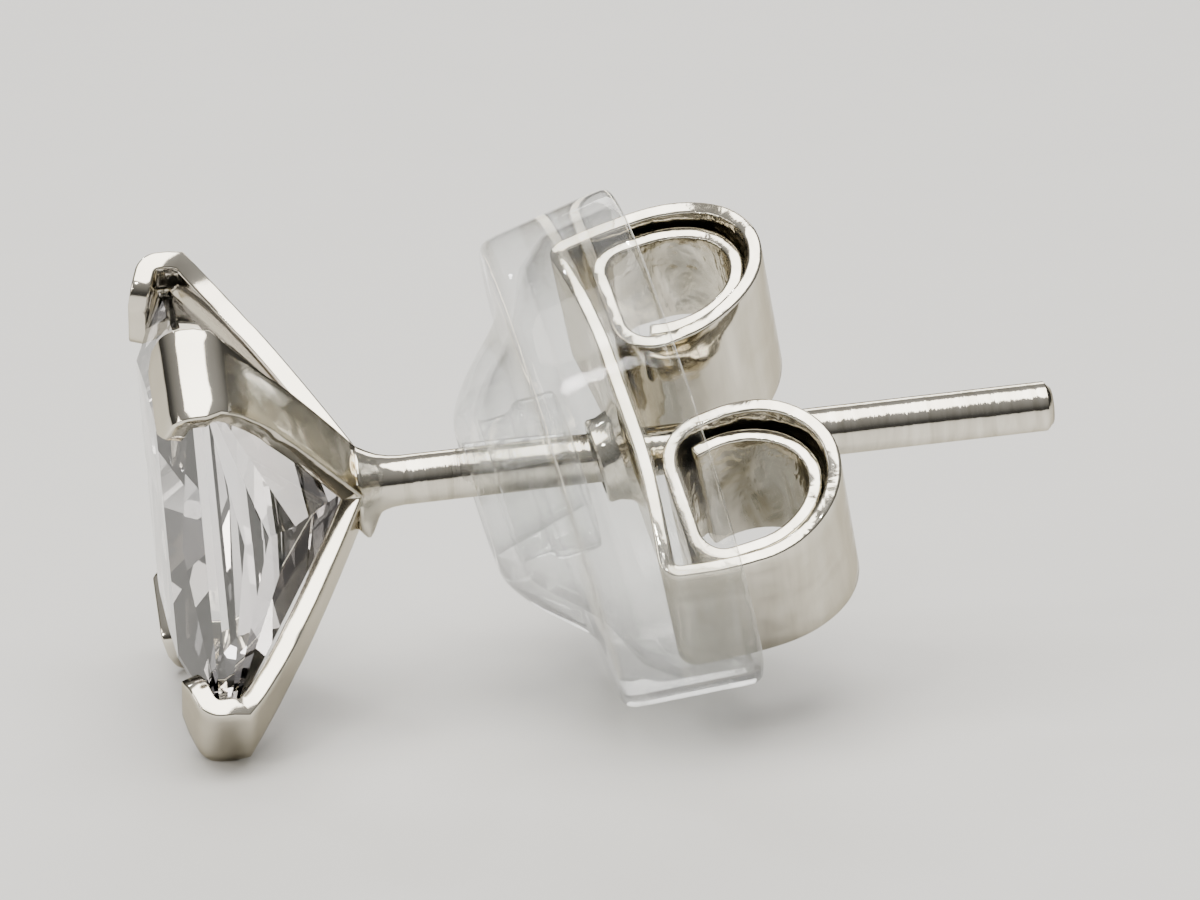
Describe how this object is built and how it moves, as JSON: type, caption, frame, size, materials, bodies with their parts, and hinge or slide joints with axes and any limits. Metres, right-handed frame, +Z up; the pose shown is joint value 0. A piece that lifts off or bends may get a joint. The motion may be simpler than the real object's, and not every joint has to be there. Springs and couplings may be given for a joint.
{
  "type": "stud earring",
  "caption": "Stud earring: a square faceted stone held at its corners by folded straps on a straight post, with a butterfly clutch in a clear plastic disc that slides on the post.",
  "frame": {"origin": "centre of the bounding box's footprint, on the table that the stud lies on", "axes": "+Y from the stone towards the post's end, which is raised 4.5 degrees; +X across the post; +Z up from the table"},
  "size_m": [0.0072, 0.0128, 0.0072],
  "materials": {
    "silver": "polished sterling silver",
    "stone": "cut and polished",
    "clear_plastic": "clear, moulded"
  },
  "bodies": {
    "stud": {"setting_and_post": "silver", "square_stone": "stone"},
    "clutch": {"butterfly_clutch": "silver", "clear_disc": "clear_plastic"}
  },
  "joints": [
    {"name": "clutch_slide", "type": "slide", "parent": "stud", "child": "clutch", "axis": [0, 0.9969, 0.0783], "range_m": [-0.0011, 0.0087]}
  ]
}
